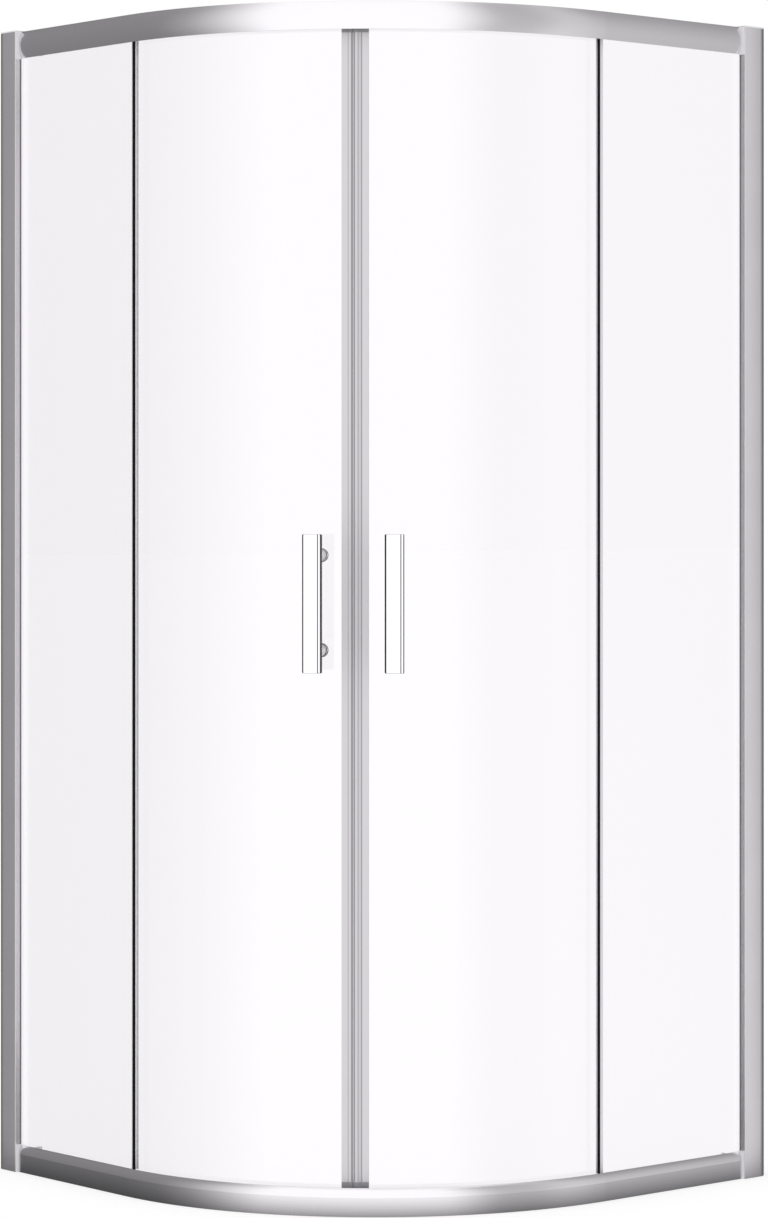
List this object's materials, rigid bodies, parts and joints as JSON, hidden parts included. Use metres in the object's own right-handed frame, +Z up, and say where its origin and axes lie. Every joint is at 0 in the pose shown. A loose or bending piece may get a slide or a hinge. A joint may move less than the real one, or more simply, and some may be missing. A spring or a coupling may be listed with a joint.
{
  "type": "quadrant shower enclosure",
  "caption": "Corner shower enclosure with flat fixed side panels, two curved glass sliding doors, bent aluminium rails, wall posts and bar handles.",
  "frame": {"origin": "centre of the overall box's underside, on the shower tray", "axes": "+Z up; -X is towards the left wall and +Y towards the right wall, so the doors open towards +X -Y"},
  "size_m": [0.893, 0.893, 1.85],
  "materials": {
    "black_trim": "matt",
    "clear_pvc": "translucent",
    "frame_aluminium": "satin anodised",
    "grey_rubber": "matt",
    "handle_chrome": "polished",
    "moulded_cap_plastic": "moulded, light grey",
    "roller_acetal": "moulded white",
    "stainless_steel": "plain",
    "strip_cap_plastic": "moulded grey",
    "strip_pvc": "light grey",
    "toughened_glass": "clear",
    "wheel_nylon": "moulded white"
  },
  "bodies": {
    "frame": {"adjuster_cover_caps": "moulded_cap_plastic", "adjuster_screws": "stainless_steel", "bottom_rail": "frame_aluminium", "bottom_rail_end_caps": "moulded_cap_plastic", "door_stops": "grey_rubber", "edge_trims": "black_trim", "glazing_beads": "clear_pvc", "left_fixed_glass": "toughened_glass", "left_side_post": "frame_aluminium", "left_wall_profile": "frame_aluminium", "post_gaskets": "grey_rubber", "post_top_caps": "moulded_cap_plastic", "rail_screws": "stainless_steel", "right_fixed_glass": "toughened_glass", "right_side_post": "frame_aluminium", "right_wall_profile": "frame_aluminium", "setting_blocks": "grey_rubber", "top_rail": "frame_aluminium", "top_rail_end_caps": "moulded_cap_plastic"},
    "left_door": {"left_closing_strip": "strip_pvc", "left_closing_strip_caps": "strip_cap_plastic", "left_door_glass": "toughened_glass", "left_handle_bar": "handle_chrome", "left_handle_cap_screws": "handle_chrome", "left_handle_posts": "handle_chrome", "left_handle_washers": "handle_chrome", "left_low_lead_spring": "stainless_steel", "left_low_roller_housings": "roller_acetal", "left_low_tail_spring": "stainless_steel", "left_roller_screws": "stainless_steel", "left_tail_strip": "strip_pvc", "left_top_roller_axles": "stainless_steel", "left_top_roller_brackets": "stainless_steel"},
    "left_low_lead_slider": {"left_low_lead_slider": "roller_acetal"},
    "left_low_lead_wheel": {"left_low_lead_wheel": "wheel_nylon"},
    "left_low_tail_slider": {"left_low_tail_slider": "roller_acetal"},
    "left_low_tail_wheel": {"left_low_tail_wheel": "wheel_nylon"},
    "left_top_lead_wheel": {"left_top_lead_wheel": "wheel_nylon"},
    "left_top_tail_wheel": {"left_top_tail_wheel": "wheel_nylon"},
    "right_door": {"right_closing_strip": "strip_pvc", "right_closing_strip_caps": "strip_cap_plastic", "right_door_glass": "toughened_glass", "right_handle_bar": "handle_chrome", "right_handle_cap_screws": "handle_chrome", "right_handle_posts": "handle_chrome", "right_handle_washers": "handle_chrome", "right_low_lead_spring": "stainless_steel", "right_low_roller_housings": "roller_acetal", "right_low_tail_spring": "stainless_steel", "right_roller_screws": "stainless_steel", "right_tail_strip": "strip_pvc", "right_top_roller_axles": "stainless_steel", "right_top_roller_brackets": "stainless_steel"},
    "right_low_lead_slider": {"right_low_lead_slider": "roller_acetal"},
    "right_low_lead_wheel": {"right_low_lead_wheel": "wheel_nylon"},
    "right_low_tail_slider": {"right_low_tail_slider": "roller_acetal"},
    "right_low_tail_wheel": {"right_low_tail_wheel": "wheel_nylon"},
    "right_top_lead_wheel": {"right_top_lead_wheel": "wheel_nylon"},
    "right_top_tail_wheel": {"right_top_tail_wheel": "wheel_nylon"}
  },
  "joints": [
    {"name": "left_door_slide", "type": "hinge", "parent": "frame", "child": "left_door", "pos_m": [-0.0885, 0.0885, 0.9], "axis": [0, 0, 1], "range_deg": [-26, 0]},
    {"name": "right_door_slide", "type": "hinge", "parent": "frame", "child": "right_door", "pos_m": [-0.0885, 0.0885, 0.9], "axis": [0, 0, 1], "range_deg": [0, 26]},
    {"name": "left_top_lead_wheel_spin", "type": "hinge", "parent": "left_door", "child": "left_top_lead_wheel", "pos_m": [0.22166, -0.29451, 1.8358], "axis": [0.6293, -0.7771, 0], "continuous": true},
    {"name": "left_low_lead_release", "type": "slide", "parent": "left_door", "child": "left_low_lead_slider", "axis": [0, 0, 1], "range_m": [0, 0.0055], "stiffness_N_per_m": 200, "springref_m": -0.01, "deforming": ["left_low_lead_spring"]},
    {"name": "left_low_lead_wheel_spin", "type": "hinge", "parent": "left_low_lead_slider", "child": "left_low_lead_wheel", "pos_m": [0.22166, -0.29451, 0.0093], "axis": [0.6293, -0.7771, 0], "continuous": true},
    {"name": "left_top_tail_wheel_spin", "type": "hinge", "parent": "left_door", "child": "left_top_tail_wheel", "pos_m": [0.0638, -0.38022, 1.8358], "axis": [0.309, -0.9511, 0], "continuous": true},
    {"name": "left_low_tail_release", "type": "slide", "parent": "left_door", "child": "left_low_tail_slider", "axis": [0, 0, 1], "range_m": [0, 0.0055], "stiffness_N_per_m": 200, "springref_m": -0.01, "deforming": ["left_low_tail_spring"]},
    {"name": "left_low_tail_wheel_spin", "type": "hinge", "parent": "left_low_tail_slider", "child": "left_low_tail_wheel", "pos_m": [0.0638, -0.38022, 0.0093], "axis": [0.309, -0.9511, 0], "continuous": true},
    {"name": "right_top_lead_wheel_spin", "type": "hinge", "parent": "right_door", "child": "right_top_lead_wheel", "pos_m": [0.29451, -0.22166, 1.8358], "axis": [0.7771, -0.6293, 0], "continuous": true},
    {"name": "right_low_lead_release", "type": "slide", "parent": "right_door", "child": "right_low_lead_slider", "axis": [0, 0, 1], "range_m": [0, 0.0055], "stiffness_N_per_m": 200, "springref_m": -0.01, "deforming": ["right_low_lead_spring"]},
    {"name": "right_low_lead_wheel_spin", "type": "hinge", "parent": "right_low_lead_slider", "child": "right_low_lead_wheel", "pos_m": [0.29451, -0.22166, 0.0093], "axis": [0.7771, -0.6293, 0], "continuous": true},
    {"name": "right_top_tail_wheel_spin", "type": "hinge", "parent": "right_door", "child": "right_top_tail_wheel", "pos_m": [0.38022, -0.0638, 1.8358], "axis": [0.9511, -0.309, 0], "continuous": true},
    {"name": "right_low_tail_release", "type": "slide", "parent": "right_door", "child": "right_low_tail_slider", "axis": [0, 0, 1], "range_m": [0, 0.0055], "stiffness_N_per_m": 200, "springref_m": -0.01, "deforming": ["right_low_tail_spring"]},
    {"name": "right_low_tail_wheel_spin", "type": "hinge", "parent": "right_low_tail_slider", "child": "right_low_tail_wheel", "pos_m": [0.38022, -0.0638, 0.0093], "axis": [0.9511, -0.309, 0], "continuous": true}
  ],
  "couplings": [
    {"joint": "left_top_lead_wheel_spin", "follows": "left_door_slide", "ratio": -57.982},
    {"joint": "left_low_lead_wheel_spin", "follows": "left_door_slide", "ratio": -70.407},
    {"joint": "left_top_tail_wheel_spin", "follows": "left_door_slide", "ratio": -57.982},
    {"joint": "left_low_tail_wheel_spin", "follows": "left_door_slide", "ratio": -70.407},
    {"joint": "right_top_lead_wheel_spin", "follows": "right_door_slide", "ratio": -57.982},
    {"joint": "right_low_lead_wheel_spin", "follows": "right_door_slide", "ratio": -70.407},
    {"joint": "right_top_tail_wheel_spin", "follows": "right_door_slide", "ratio": -57.982},
    {"joint": "right_low_tail_wheel_spin", "follows": "right_door_slide", "ratio": -70.407}
  ]
}
